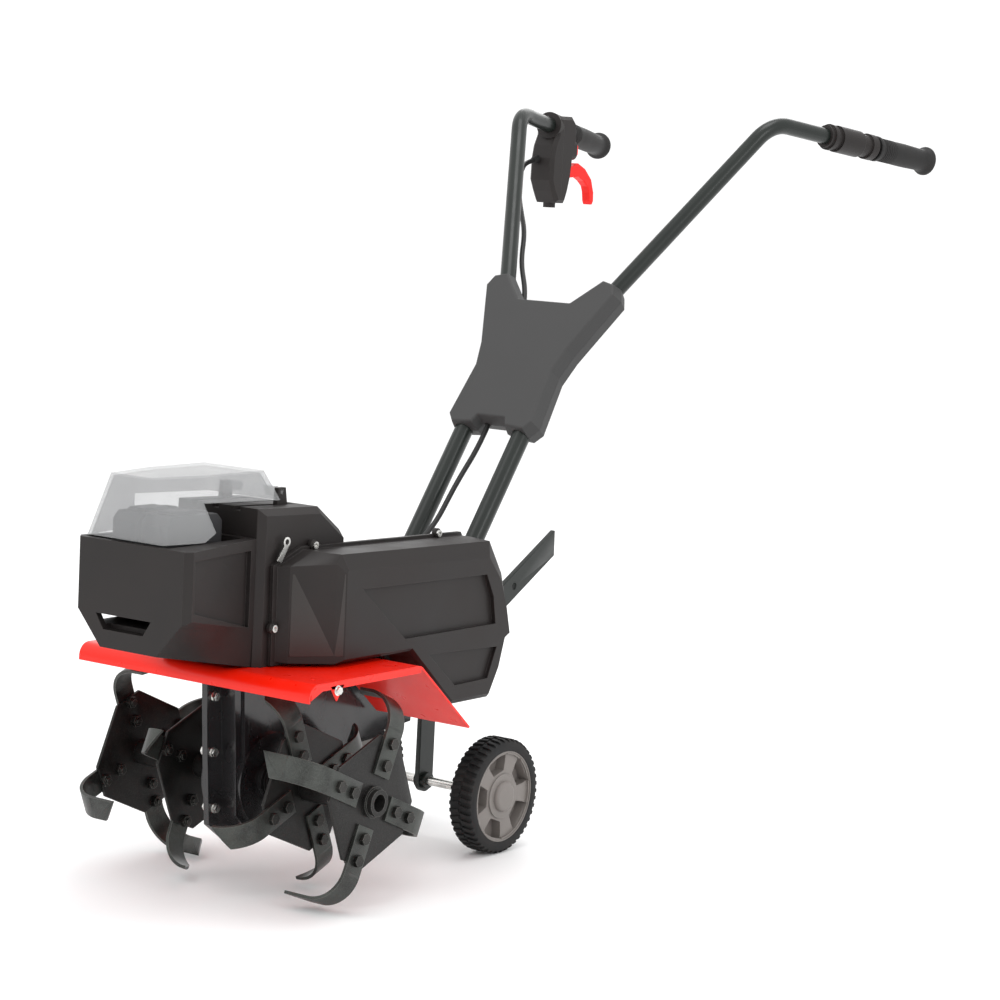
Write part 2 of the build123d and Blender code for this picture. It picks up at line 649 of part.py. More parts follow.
def window_outline(angle):
    """Pocket between two spokes of a rim, as (Y, Z)."""
    a = radians(angle)
    points = []
    for radial, across in ((32, -11), (44, -17), (53, -20), (54.5, 0), (53, 20), (44, 17), (32, 11)):
        y = wheel_y + radial * cos(a) - across * sin(a)
        z = wheel_z + radial * sin(a) + across * cos(a)
        points.append((y, z))
    return points


for side, name in ((1, "left"), (-1, "right")):
    inner_x, outer_x = side * (wheel_outer_x - wheel_width), side * wheel_outer_x
    middle_x = side * (wheel_outer_x - wheel_width / 2)
    with BuildPart() as tyre:
        disc(wheel_y, wheel_z, tyre_r, inner_x + side * 4, outer_x - side * 4)
        disc(wheel_y, wheel_z, tyre_r - 3, inner_x, outer_x)
        disc(wheel_y, wheel_z, rim_r, inner_x, outer_x, mode=Mode.SUBTRACT)
        for lug in range(lug_count):
            for half, turn in ((inner_x, 0.0), (middle_x, 0.5)):
                angle = 360 * (lug + turn) / lug_count
                with BuildSketch(radial_plane(angle, wheel_y, wheel_z)):
                    x0 = half + side * (0 if half == inner_x else 1.5)
                    x1 = x0 + side * (wheel_width / 2 - 1.5)
                    Polygon((tyre_r - lug_depth, x0), (tyre_r + 1, x0), (tyre_r + 1, x1),
                            (tyre_r - lug_depth, x1), align=None)
                extrude(amount=2.0, both=True, mode=Mode.SUBTRACT)
    save(tyre, f"tyre_{name}")

    with BuildPart() as rim:
        disc(wheel_y, wheel_z, rim_r, inner_x + side * 3, outer_x - side * 2)
        disc(wheel_y, wheel_z, rim_r - 3.5, outer_x - side * 5, outer_x - side * 2, mode=Mode.SUBTRACT)
        disc(wheel_y, wheel_z, rim_r - 3.5, inner_x + side * 3, inner_x + side * 14, mode=Mode.SUBTRACT)
        disc(wheel_y, wheel_z, 29.0, outer_x - side * 6, outer_x - side * 3)
        disc(wheel_y, wheel_z, 16.0, inner_x + side * 2, inner_x + side * 14)
        disc(wheel_y, wheel_z, 20.0, outer_x - side * 4, outer_x + side * 3)
        cap_edge = rim.edges().filter_by(GeomType.CIRCLE).group_by(Axis.X)[-1 if side > 0 else 0]
        fillet(cap_edge, 5)
        for window in range(window_count):
            slab(window_outline(360 * (window + 0.5) / window_count + spoke_angle),
                 inner_x + side * 17, outer_x - side * 2, mode=Mode.SUBTRACT)
        disc(wheel_y, wheel_z, axle_r + shaft_gap, inner_x + side * 2, side * (axle_half + 0.5), mode=Mode.SUBTRACT)
    save(rim, f"rim_{name}")

stake_end = (166.0, 372.0)
stake_angle = degrees(atan2(stake_end[1] - stake_pivot[1], stake_end[0] - stake_pivot[0]))
stake_length = ((stake_end[0] - stake_pivot[0]) ** 2 + (stake_end[1] - stake_pivot[1]) ** 2) ** 0.5
stake_plane = Plane(origin=(stake_x0, *stake_pivot),
                    x_dir=(0, cos(radians(stake_angle)), sin(radians(stake_angle))), z_dir=(1, 0, 0))
with BuildPart() as drag_stake:
    with BuildSketch(stake_plane):
        Polygon((0, -15), (stake_length - 8, -15), (stake_length + 8, 15), (0, 15), align=None)
        Circle(14)
    extrude(amount=stake_x1 - stake_x0)
    with BuildSketch(stake_plane):
        Circle(9)
    extrude(amount=ear_x - 0.3 - stake_x0)
    with BuildSketch(stake_plane):
        Circle(5 + shaft_gap)
        with GridLocations(32, 1, 3, 1):
            with Locations((110, 0)):
                Circle(5)
    extrude(amount=ear_x, mode=Mode.SUBTRACT)
save(drag_stake, "drag_stake")

# ---- handle tubes --------------------------------------------------------------------------------
lower_bottom_z, lower_top_z, stub_z, bend_z = 238.0, 632.0, 585.0, 640.0
for side, name in ((1, "left"), (-1, "right")):
    foot = Plane(origin=(side * handle_half, tube_y(lower_bottom_z), lower_bottom_z),
                 x_dir=(1, 0, 0), z_dir=(0, lean_slope, 1))
    length = (lower_top_z - lower_bottom_z) / cos(radians(lean))
    with BuildPart() as lower_tube:
        with BuildSketch(foot):
            Circle(lower_tube_r)
            Circle(lower_tube_bore, mode=Mode.SUBTRACT)
        extrude(amount=length)
        for y, z in handle_holes:
            disc(y, z, 4.1, side * 30, side * 64, mode=Mode.SUBTRACT)
    save(lower_tube, f"lower_tube_{name}")

    route = [
        (side * handle_half, tube_y(stub_z), stub_z), (side * handle_half, tube_y(bend_z), bend_z),
        (side * grip_corner[0], grip_corner[1], grip_corner[2]),
        (side * grip_end[0], grip_end[1], grip_end[2]),
    ]
    with BuildPart() as upper_tube:
        with BuildLine() as centre:
            FilletPolyline(*route, radius=55)
        start = Plane(origin=route[0], x_dir=(1, 0, 0), z_dir=(0, lean_slope, 1))
        with BuildSketch(start):
            Circle(upper_tube_r)
            Circle(upper_tube_bore, mode=Mode.SUBTRACT)
        sweep(path=centre.line)
    save(upper_tube, f"upper_tube_{name}")

with BuildPart() as handle_bolts:
    for y, z in handle_holes:
        disc(y, z, 4.0, -68, 68)
        for x0, x1 in ((60, 65.5), (-67, -60)):
            with BuildSketch(Plane.YZ.offset(x0)):
                with Locations((y, z)):
                    RegularPolygon(radius=7.4, side_count=6)
            extrude(amount=x1 - x0)
save(handle_bolts, "handle_bolts")

# ---- route of the switch cable, from the switch housing to the motor housing -------------
cable_start = (-249.0, 452.0, 893.0)
cable_points = [
    cable_start, (-246, 412, 886), (-214, 352, 862), (-168, 296, 828), (-121, 246, 790),
    (-98, 208, 750), (-60, 169, 712), (-42, 140, 678), (-26, 89, 610), (-14, 46, 554),
    (-12, 10, 507), (-10, -34, 466), (-2, -88, 415), (3, -142, 386), (1, -212, 377), (3, -288, 373),
    (2, housing_rear - 2, cable_entry_z),
]


def bend_radii(points):
    """A tangent arc for each corner, as large as its two runs allow."""
    radii = []
    for a, b, c in zip(points, points[1:], points[2:]):
        before = Vector(*b) - Vector(*a)
        after = Vector(*c) - Vector(*b)
        turn = radians(before.get_angle(after))
        radii.append(0.45 * min(before.length, after.length) / tan(turn / 2))
    return radii


cable_radii = bend_radii(cable_points)
print("cable bend radii, mm:", [round(r) for r in cable_radii])
with BuildLine() as cable_line:
    FilletPolyline(*cable_points, radius=cable_radii)
cable_mouth = Plane(origin=cable_points[0], z_dir=Vector(*cable_points[1]) - Vector(*cable_points[0]))


def cable_run(r, mode):
    """The cable's whole run as a tube of the given radius."""
    with BuildSketch(cable_mouth) as section:
        Circle(r)
    sweep(section.sketch, path=cable_line.line, mode=mode)


# ---- two-piece joint cover round the tubes --------------------------------------------------------
cover_plane = Plane(origin=(0, lean_y, lean_z), x_dir=(1, 0, 0),
                    z_dir=(0, -cos(radians(lean)), sin(radians(lean))))
half_outline = [
    (20, 109), (25, 98), (60, 95), (72, 110), (66, 190), (74, 225), (109, 318), (101, 337),
    (78, 343), (41, 303),
]
joint_outline = half_outline + [(-x, v) for x, v in reversed(half_outline)]
joint_inner = [
    (21, 112), (27, 101), (59, 98), (69, 111), (63, 191), (71, 226), (105, 318), (99, 334),
    (79, 339), (42, 300),
]
joint_room = joint_inner + [(-x, v) for x, v in reversed(joint_inner)]
joint_depth = 19.0
for sign, name in ((1, "front"), (-1, "rear")):
    with BuildPart() as joint_cover:
        with BuildSketch(cover_plane):
            Polygon(*joint_outline, align=None)
        extrude(amount=sign * joint_depth, taper=12)
        outward = Axis(cover_plane.origin, cover_plane.z_dir)
        fillet(joint_cover.edges().group_by(outward)[-1 if sign > 0 else 0], 3.5)
        with BuildSketch(cover_plane):
            Polygon(*joint_room, align=None)
        extrude(amount=sign * (joint_depth - wall), taper=12, mode=Mode.SUBTRACT)
        for side in (1, -1):
            foot = Plane(origin=(side * handle_half, tube_y(500), 500), x_dir=(1, 0, 0), z_dir=(0, lean_slope, 1))
            with BuildSketch(foot):
                Circle(lower_tube_r + 0.2)
            extrude(amount=170, mode=Mode.SUBTRACT)
            corner = (side * grip_corner[0], grip_corner[1], grip_corner[2])
            low = (side * handle_half, tube_y(bend_z), bend_z)
            along = Vector(*corner) - Vector(*low)
            with BuildSketch(Plane(origin=low, z_dir=along)):
                Circle(upper_tube_r + 0.3)
            extrude(amount=170, mode=Mode.SUBTRACT)
        cable_run(cable_r + 0.8, Mode.SUBTRACT)
    save(joint_cover, f"joint_cover_{name}")

# ---- grips, sleeve and switch housing ----------------------------------------------------------------
grip_direction = Vector(*grip_end) - Vector(*grip_corner)
grip_run = grip_direction.length


def on_grip(distance, side):
    """Plane across the grip axis, the distance from the bend's corner."""
    step = grip_direction.normalized() * distance
    point = Vector(*grip_corner) + step
    return Plane(origin=(side * point.X, point.Y, point.Z),
                 x_dir=(1, 0, 0), z_dir=(side * grip_direction.X, grip_direction.Y, grip_direction.Z))


for side, name, grip_start in ((1, "left", 208.0), (-1, "right", 174.0)):
    with BuildPart() as grip:
        for start, run, r in ((grip_start, grip_run - grip_start + 4, 16.5), (grip_start, 6, 17.8),
                              (grip_run - 6, 10, 20.5)):
            with BuildSketch(on_grip(start, side)):
                Circle(r)
            extrude(amount=run)
        with BuildSketch(on_grip(grip_start, side)):
            Circle(upper_tube_r)
        extrude(amount=grip_run - grip_start, mode=Mode.SUBTRACT)
    save(grip, f"grip_{name}")

with BuildPart() as handle_sleeve:
    for start, run, r in ((106, 100, 15.5), (112, 6, 18), (128, 44, 18.5), (190, 12, 18)):
        with BuildSketch(on_grip(start, 1)):
            Circle(r)
        extrude(amount=run)
    with BuildSketch(on_grip(100, 1)):
        Circle(upper_tube_r)
    extrude(amount=110, mode=Mode.SUBTRACT)
    fillet(handle_sleeve.edges().filter_by(GeomType.CIRCLE).sort_by(Axis.Y)[-1], 1.5)
save(handle_sleeve, "handle_sleeve")

switch_x0, switch_x1 = -262.0, -220.0
switch_front, switch_seam, switch_rear = 440.0, 472.0, 515.0
switch_middle = (switch_x0 + switch_x1) / 2
lever_pivot = (480.0, 872.0)
lever_x0, lever_x1 = -241.0, -227.0
button_x, button_z = -229.0, 908.0
button_rear, button_front = 515.5, 489.5
bezel_rear = 508.0
switch_outline = [
    (460, 957), (458, 930), (450, 914), (446, 895), (445, 862), (453, 846), (463, 829), (484, 829),
    (491, 846), (497, 868), (500, 893), (508, 922), (506, 948), (497, 957),
]
switch_hollow = [
    (463, 921), (454, 911), (450, 894), (449, 864), (457, 849), (484, 846), (490, 868), (495, 893),
    (498, 918), (492, 921),
]


def switch_form():
    """Outer form of the whole switch housing, with a round collar along the tube."""
    slab(switch_outline, switch_x0, switch_x1)
    flat_sides = [e for f in faces().filter_by(Axis.X) for e in f.edges()]
    chamfer(flat_sides, 5)
    with BuildSketch(on_grip(112, -1)) as collar:
        Circle(19.5)
    extrude(collar.sketch, amount=58)


def switch_room():
    """Hollow of the switch housing and its bore round the tube."""
    slab(switch_hollow, switch_x0 + wall, switch_x1 - wall, mode=Mode.SUBTRACT)
    with BuildSketch(on_grip(60, -1)) as bore:
        Circle(upper_tube_r + 0.1)
    extrude(bore.sketch, amount=150, mode=Mode.SUBTRACT)


def button_shape(width, height, y0, y1, mode=Mode.ADD):
    """Upright oval along Y, round the lock button's axis."""
    with BuildSketch(Plane.XZ.offset(-y0)) as oval:
        with Locations((button_x, button_z)):
            SlotOverall(height, width, rotation=90)
    extrude(oval.sketch, amount=-(y1 - y0), mode=mode)


with BuildPart() as switch_housing_front:
    switch_form()
    block((-300, switch_seam, 800), (-180, 560, 1000), mode=Mode.SUBTRACT)
    switch_room()
    cable_run(cable_r + 0.3, Mode.SUBTRACT)
    with Locations((switch_middle, switch_seam, 825.5)):
        Cylinder(9, 7)
save(switch_housing_front, "switch_housing_front")

with BuildPart() as switch_housing_rear:
    switch_form()
    button_shape(18, 29, switch_seam, bezel_rear)
    block((-300, 400, 800), (-180, switch_seam, 1000), mode=Mode.SUBTRACT)
    switch_room()
    button_shape(13.8, 21.8, switch_seam, switch_rear, mode=Mode.SUBTRACT)
    block((lever_x0 - 1, 484, 864.5), (lever_x1 + 1, switch_rear, 890.5), mode=Mode.SUBTRACT)
    disc(lever_pivot[0], lever_pivot[1], 3.0, switch_x0 + 1, switch_x1 - 1)
save(switch_housing_rear, "switch_housing_rear")

with BuildPart() as lock_button:
    button_shape(13, 21, button_front, button_rear)
    fillet(lock_button.edges().group_by(Axis.Y)[-1], 3)
save(lock_button, "lock_button")

lever_outline = [
    (484, 881), (510, 885), (524, 889), (543, 881), (560, 866), (567.5, 846), (568, 833), (565, 828),
    (560, 828), (557, 833), (555, 846), (551, 855), (540, 863), (526, 869), (500, 867), (484, 863.5),
]
with BuildPart() as trigger:
    slab(lever_outline, lever_x0, lever_x1)
    chamfer([e for f in faces().filter_by(Axis.X) for e in f.edges()], 1.2)
    disc(lever_pivot[0], lever_pivot[1], 9.0, lever_x0, lever_x1)
    disc(lever_pivot[0], lever_pivot[1], 3.0 + shaft_gap, lever_x0, lever_x1, mode=Mode.SUBTRACT)
save(trigger, "trigger")

with BuildPart() as ring_lug:
    lug_plane = Plane.YZ.offset(cover_x + wall)
    with BuildSketch(lug_plane):
        with Locations((-480, 432)):
            Circle(6)
        Polygon((-484, 428), (-477, 426), (-489, 408), (-497, 411), align=None)
        with Locations((-480, 432)):
            Circle(3.4, mode=Mode.SUBTRACT)
    extrude(amount=2)
save(ring_lug, "ring_lug")

# ---- switch cable ----------------------------------
with BuildPart() as switch_cable:
    cable_run(cable_r, Mode.ADD)
cable_length = sum(edge.length for edge in cable_line.edges())
print("cable length, mm:", round(cable_length), "volume error:",
      round(switch_cable.part.volume / (pi * cable_r ** 2 * cable_length) - 1, 5))
save(switch_cable, "switch_cable")
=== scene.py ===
import json
import math

import bmesh
import bpy
from mathutils import Matrix, Vector

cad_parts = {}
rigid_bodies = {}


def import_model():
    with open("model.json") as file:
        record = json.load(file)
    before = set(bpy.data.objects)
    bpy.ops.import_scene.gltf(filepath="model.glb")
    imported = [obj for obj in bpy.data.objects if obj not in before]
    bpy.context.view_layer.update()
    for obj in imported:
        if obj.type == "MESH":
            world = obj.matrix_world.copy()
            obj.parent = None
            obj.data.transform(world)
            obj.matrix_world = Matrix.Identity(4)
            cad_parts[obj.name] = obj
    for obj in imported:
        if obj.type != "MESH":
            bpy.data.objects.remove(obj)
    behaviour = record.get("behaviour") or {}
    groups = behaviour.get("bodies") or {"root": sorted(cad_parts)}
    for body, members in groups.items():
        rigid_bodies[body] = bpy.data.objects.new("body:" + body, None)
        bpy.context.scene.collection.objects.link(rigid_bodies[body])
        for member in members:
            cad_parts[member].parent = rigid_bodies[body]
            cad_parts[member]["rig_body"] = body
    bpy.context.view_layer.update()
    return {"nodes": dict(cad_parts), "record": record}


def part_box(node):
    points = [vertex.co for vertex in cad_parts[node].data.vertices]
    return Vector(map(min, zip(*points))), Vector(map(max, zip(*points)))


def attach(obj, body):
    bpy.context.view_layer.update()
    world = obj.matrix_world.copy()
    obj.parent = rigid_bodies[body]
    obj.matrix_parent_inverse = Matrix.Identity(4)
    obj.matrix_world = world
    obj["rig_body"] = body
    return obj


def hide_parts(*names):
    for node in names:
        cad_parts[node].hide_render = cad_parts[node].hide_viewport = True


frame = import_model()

# Battery garden tiller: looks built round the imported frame. Metres, +Z up,
# -Y the direction of travel, +X the side of the belt cover.

MM = 0.001
SIDES = (("left", 1.0), ("right", -1.0))
X_AXIS = Vector((1.0, 0.0, 0.0))

# ---- camera ------------------------------------------------------------------

CAMERA_PLACE = Vector((2.2599, -3.0798, 0.8986))
CAMERA_HEADING, CAMERA_DIP, CAMERA_ROLL = 35.86, 6.81, 2.85     # degrees
CAMERA_LENS, CAMERA_SENSOR = 104.5, 36.0                        # millimetres
CAMERA_SHIFT = 0.0018


def make_camera():
    """Camera at the photograph's viewing angle."""
    heading, dip, roll = (math.radians(a) for a in (CAMERA_HEADING, CAMERA_DIP, CAMERA_ROLL))
    forward = Vector((
        -math.sin(heading) * math.cos(dip),
        math.cos(heading) * math.cos(dip),
        -math.sin(dip),
    ))
    level = Vector((math.cos(heading), math.sin(heading), 0.0))
    upright = level.cross(forward)
    right = math.cos(roll) * level + math.sin(roll) * upright
    up = math.cos(roll) * upright - math.sin(roll) * level
    data = bpy.data.cameras.new("camera")
    data.lens = CAMERA_LENS
    data.sensor_width = CAMERA_SENSOR
    data.shift_x = CAMERA_SHIFT
    camera = bpy.data.objects.new("camera", data)
    turn = Matrix((right, up, -forward)).transposed().to_4x4()
    camera.matrix_world = Matrix.Translation(CAMERA_PLACE) @ turn
    bpy.context.scene.collection.objects.link(camera)
    bpy.context.scene.camera = camera


make_camera()

# ---- materials ---------------------------------------------------------------

NONMETAL_SPECULAR = 0.3
EDGE_SAMPLES = 4
# Dot product of the rounded and the true normal: at a flat place, and at a fully worn edge.
FLAT_DOT, EDGE_DOT = 0.995, 0.86


class Surface:
    """Node tree of one procedural material, built up step by step."""

    def __init__(self, name, roughness, metallic=0.0):
        self.material = bpy.data.materials.new(name)
        self.material.use_nodes = True
        self.nodes = self.material.node_tree.nodes
        self.shader = self.nodes["Principled BSDF"]
        self.shader.inputs["Metallic"].default_value = metallic
        self.shader.inputs["Roughness"].default_value = roughness
        if metallic < 0.5:
            self.shader.inputs["Specular IOR Level"].default_value = NONMETAL_SPECULAR
        self.edge_normal = None
        self.place = self.nodes.new("ShaderNodeTexCoord").outputs["Object"]

    def link(self, start, end):
        self.material.node_tree.links.new(start, end)

    def grains(self, scale, detail=3.0, stretch=(1.0, 1.0, 1.0)):
        """Noise over the object's own coordinates."""
        mapping = self.nodes.new("ShaderNodeMapping")
        mapping.inputs["Scale"].default_value = stretch
        self.link(self.place, mapping.inputs["Vector"])
        texture = self.nodes.new("ShaderNodeTexNoise")
        texture.inputs["Scale"].default_value = scale
        texture.inputs["Detail"].default_value = detail
        self.link(mapping.outputs["Vector"], texture.inputs["Vector"])
        return texture.outputs["Fac"]

    def spread(self, source, low, high, start, end):
        """Map a 0 to 1 source between low and high onto start to end."""
        ranger = self.nodes.new("ShaderNodeMapRange")
        for socket, value in (
            ("From Min", low), ("From Max", high), ("To Min", start), ("To Max", end),
        ):
            ranger.inputs[socket].default_value = value
        self.link(source, ranger.inputs["Value"])
        return ranger.outputs["Result"]

    def mix(self, share, first, second):
        """Blend two colours, or a colour socket and a colour, by a share."""
        mixer = self.nodes.new("ShaderNodeMix")
        mixer.data_type = "RGBA"
        self.link(share, mixer.inputs["Factor"])
        for socket, colour in ((mixer.inputs[6], first), (mixer.inputs[7], second)):
            if isinstance(colour, tuple):
                socket.default_value = (*colour, 1.0)
            else:
                self.link(colour, socket)
        return mixer.outputs[2]

    def product(self, first, second):
        """Multiply two sources."""
        times = self.nodes.new("ShaderNodeMath")
        times.operation = "MULTIPLY"
        self.link(first, times.inputs[0])
        self.link(second, times.inputs[1])
        return times.outputs["Value"]

    def colour(self, source):
        self.link(source, self.shader.inputs["Base Color"])

    def rough(self, source):
        self.link(source, self.shader.inputs["Roughness"])

    def edges(self, radius):
        """Round the shading of sharp edges, and give how near an edge is, 0 to 1."""
        bevel = self.nodes.new("ShaderNodeBevel")
        bevel.inputs["Radius"].default_value = radius
        bevel.samples = EDGE_SAMPLES
        self.edge_normal = bevel.outputs["Normal"]
        flat = self.nodes.new("ShaderNodeNewGeometry")
        dot = self.nodes.new("ShaderNodeVectorMath")
        dot.operation = "DOT_PRODUCT"
        self.link(self.edge_normal, dot.inputs[0])
        self.link(flat.outputs["Normal"], dot.inputs[1])
        return self.spread(dot.outputs["Value"], FLAT_DOT, EDGE_DOT, 0.0, 1.0)

    def bumps(self, source, strength, depth):
        """Bump from a source, on top of the rounded edges where there are any."""
        bump = self.nodes.new("ShaderNodeBump")
        bump.inputs["Strength"].default_value = strength
        bump.inputs["Distance"].default_value = depth
        self.link(source, bump.inputs["Height"])
        if self.edge_normal is not None:
            self.link(self.edge_normal, bump.inputs["Normal"])
        self.link(bump.outputs["Normal"], self.shader.inputs["Normal"])

    def coat(self, weight, roughness):
        self.shader.inputs["Coat Weight"].default_value = weight
        self.shader.inputs["Coat Roughness"].default_value = roughness


def moulded_plastic(name, base, dusty, worn, rough=(0.42, 0.58), grain=1500.0):
    """Grained plastic with faint dust and paler, rubbed edges."""
    surface = Surface(name, rough[0])
    edge = surface.edges(1.2 * MM)
    clouds = surface.grains(14.0, 6.0)
    body = surface.mix(surface.spread(clouds, 0.35, 0.75, 0.0, 1.0), base, dusty)
    rubbed = surface.product(edge, surface.spread(surface.grains(60.0, 4.0), 0.35, 0.7, 0.0, 0.8))
    surface.colour(surface.mix(rubbed, body, worn))
    surface.rough(surface.spread(clouds, 0.3, 0.7, *rough))
    surface.bumps(surface.grains(grain, 2.0), 0.35, 0.12 * MM)
    return surface.material


def painted_steel(name, base, deep, chips, rough, coat, peel=260.0):
    """Sprayed paint: orange peel, uneven depth, and edges scuffed to the chips' colour."""
    surface = Surface(name, rough[0])
    edge = surface.edges(0.8 * MM)
    clouds = surface.grains(7.0, 5.0)
    body = surface.mix(surface.spread(clouds, 0.3, 0.7, 0.0, 1.0), base, deep)
    scuffs = surface.spread(surface.grains(180.0, 5.0), 0.56, 0.68, 0.0, 1.0)
    surface.colour(surface.mix(surface.product(edge, scuffs), body, chips))
    surface.rough(surface.spread(surface.grains(40.0, 4.0), 0.3, 0.7, *rough))
    surface.bumps(surface.grains(peel, 1.5), 0.12, 0.25 * MM)
    surface.coat(coat, 0.12)
    return surface.material


GROUND_EDGE = (0.34, 0.34, 0.31)


def forged_steel(name, dark, light, metallic, rough=(0.3, 0.55), speckle=700.0):
    """Oiled, heat-darkened steel with mill-scale mottling, fine speckle and ground edges."""
    surface = Surface(name, rough[0], metallic)
    edge = surface.edges(0.7 * MM)
    clouds = surface.grains(28.0, 8.0)
    fine = surface.spread(surface.grains(speckle, 3.0), 0.45, 0.68, 0.0, 0.5)
    body = surface.mix(surface.spread(clouds, 0.38, 0.66, 0.0, 1.0), dark, light)
    body = surface.mix(fine, body, tuple(min(1.0, c * 1.9) for c in light))
    surface.colour(surface.mix(surface.spread(edge, 0.0, 1.0, 0.0, 0.55), body, GROUND_EDGE))
    surface.rough(surface.spread(clouds, 0.35, 0.7, *rough))
    surface.bumps(surface.grains(420.0, 5.0), 0.4, 0.12 * MM)
    return surface.material


def bright_metal(name, base, dull, rough=(0.16, 0.34), lay=(1.0, 1.0, 1.0)):
    """Zinc plating or machined metal, with fine scratches along the lay."""
    surface = Surface(name, rough[0], 1.0)
    surface.edges(0.5 * MM)
    clouds = surface.grains(90.0, 5.0)
    surface.colour(surface.mix(surface.spread(clouds, 0.35, 0.68, 0.0, 1.0), base, dull))
    surface.rough(surface.spread(clouds, 0.3, 0.7, *rough))
    surface.bumps(surface.grains(900.0, 3.0, lay), 0.22, 0.05 * MM)
    return surface.material


def rubber(name, base, dusty, rough=(0.6, 0.85), grain=900.0):
    """Soft black rubber with chalky bloom."""
    surface = Surface(name, rough[0])
    surface.edges(0.8 * MM)
    clouds = surface.grains(26.0, 6.0)
    surface.colour(surface.mix(surface.spread(clouds, 0.42, 0.75, 0.0, 1.0), base, dusty))
    surface.rough(surface.spread(clouds, 0.3, 0.7, *rough))
    surface.bumps(surface.grains(grain, 3.0), 0.4, 0.15 * MM)
    return surface.material


def clear_plastic(name, tint, alpha):
    """Smoky clear moulding, seen through but catching the light."""
    smooth, hazy = 0.08, 0.22
    surface = Surface(name, smooth)
    clouds = surface.grains(20.0, 5.0)
    surface.colour(surface.mix(surface.spread(clouds, 0.3, 0.7, 0.0, 1.0), tint,
                               tuple(c * 0.93 for c in tint)))
    surface.rough(surface.spread(clouds, 0.35, 0.7, smooth, hazy))
    surface.bumps(surface.grains(55.0, 2.0), 0.05, 0.3 * MM)
    surface.shader.inputs["Alpha"].default_value = alpha
    surface.coat(0.4, 0.05)
    return surface.material


MATERIALS = {
    "deck_red": painted_steel(
        "deck_enamel", (0.95, 0.012, 0.001), (0.86, 0.009, 0.001),
        chips=(0.55, 0.05, 0.03), rough=(0.26, 0.36), coat=0.2,
    ),
    "tube_paint": painted_steel(
        "tube_powder_coat", (0.007, 0.010, 0.0085), (0.012, 0.016, 0.0135),
        chips=(0.05, 0.055, 0.05), rough=(0.3, 0.42), coat=0.15, peel=620.0,
    ),
    "case_black": painted_steel(
        "case_gloss", (0.009, 0.009, 0.01), (0.016, 0.015, 0.016),
        chips=(0.06, 0.055, 0.05), rough=(0.18, 0.3), coat=0.5, peel=160.0,
    ),
    "black_plastic": moulded_plastic(
        "brown_black_plastic", (0.0135, 0.011, 0.0105), (0.021, 0.0172, 0.0162), (0.06, 0.053, 0.05),
    ),
    "joint_grey": moulded_plastic(
        "joint_cover_plastic", (0.046, 0.046, 0.046), (0.053, 0.053, 0.053), (0.09, 0.09, 0.09),
        rough=(0.55, 0.68),
    ),
    "lid_smoke": clear_plastic("lid_plastic", (0.40, 0.405, 0.41), alpha=0.4),
    "battery_plastic": moulded_plastic(
        "battery_plastic", (0.028, 0.028, 0.03), (0.05, 0.05, 0.052), (0.11, 0.11, 0.11),
    ),
    "red_plastic": moulded_plastic(
        "control_plastic", (0.9, 0.006, 0.002), (0.8, 0.005, 0.002), (0.92, 0.05, 0.03),
        rough=(0.36, 0.5), grain=900.0,
    ),
    "tine_steel": forged_steel(
        "tine_plate_steel", (0.013, 0.0125, 0.012), (0.026, 0.025, 0.024), metallic=0.45,
    ),
    "blade_steel": forged_steel(
        "blade_steel", (0.022, 0.022, 0.021), (0.062, 0.067, 0.061), metallic=0.55, speckle=1100.0,
    ),
    "zinc": bright_metal("zinc_plating", (0.78, 0.77, 0.74), (0.55, 0.55, 0.53)),
    "shaft_steel": bright_metal(
        "turned_steel", (0.42, 0.42, 0.41), (0.3, 0.3, 0.3), rough=(0.25, 0.4), lay=(0.05, 1.0, 1.0),
    ),
    "tyre_rubber": rubber("tyre_rubber", (0.011, 0.011, 0.0115), (0.028, 0.026, 0.025)),
    "rim_grey": moulded_plastic(
        "rim_plastic", (0.175, 0.158, 0.146), (0.215, 0.195, 0.182), (0.34, 0.32, 0.3),
        rough=(0.32, 0.46), grain=700.0,
    ),
    "grip_rubber": rubber(
        "grip_rubber", (0.014, 0.0135, 0.0135), (0.024, 0.023, 0.022), rough=(0.5, 0.7), grain=1400.0,
    ),
    "belt_rubber": rubber("belt_rubber", (0.012, 0.012, 0.012), (0.02, 0.02, 0.02)),
    "cable_rubber": rubber(
        "cable_sheath", (0.012, 0.012, 0.012), (0.02, 0.02, 0.02), rough=(0.35, 0.55), grain=1200.0,
    ),
    "motor_metal": bright_metal(
        "cast_aluminium", (0.5, 0.5, 0.5), (0.38, 0.38, 0.38), rough=(0.35, 0.55),
    ),
    "strip": moulded_plastic(
        "panel_strip_plastic", (0.034, 0.031, 0.029), (0.043, 0.039, 0.037), (0.09, 0.085, 0.08),
        rough=(0.36, 0.5), grain=2200.0,
    ),
    "dark_nut": forged_steel(
        "dark_fasteners", (0.02, 0.02, 0.019), (0.045, 0.043, 0.04), metallic=0.8, rough=(0.3, 0.5),
    ),
}
SLOT_OF = {part["node"]: part["material_slot"] for part in frame["record"]["subparts"]}
OWN_FINISH = {"tine_bolts": "dark_nut", "handle_bolts": "dark_nut", "pivot_pins": "dark_nut"}


def finish(piece, look):
    """Give a piece one of the materials."""
    piece.data.materials.clear()
    piece.data.materials.append(MATERIALS[look])


for node_name, node in frame["nodes"].items():
    finish(node, OWN_FINISH.get(node_name, SLOT_OF[node_name]))

# ---- mesh tools --------------------------------------------------------------


def add_object(name, mesh):
    """A mesh as an object in the scene."""
    piece = bpy.data.objects.new(name, mesh)
    bpy.context.scene.collection.objects.link(piece)
    return piece


def add_built(name, mesh):
    """A finished bmesh as an object in the scene."""
    data = bpy.data.meshes.new(name)
    mesh.to_mesh(data)
    mesh.free()
    return add_object(name, data)


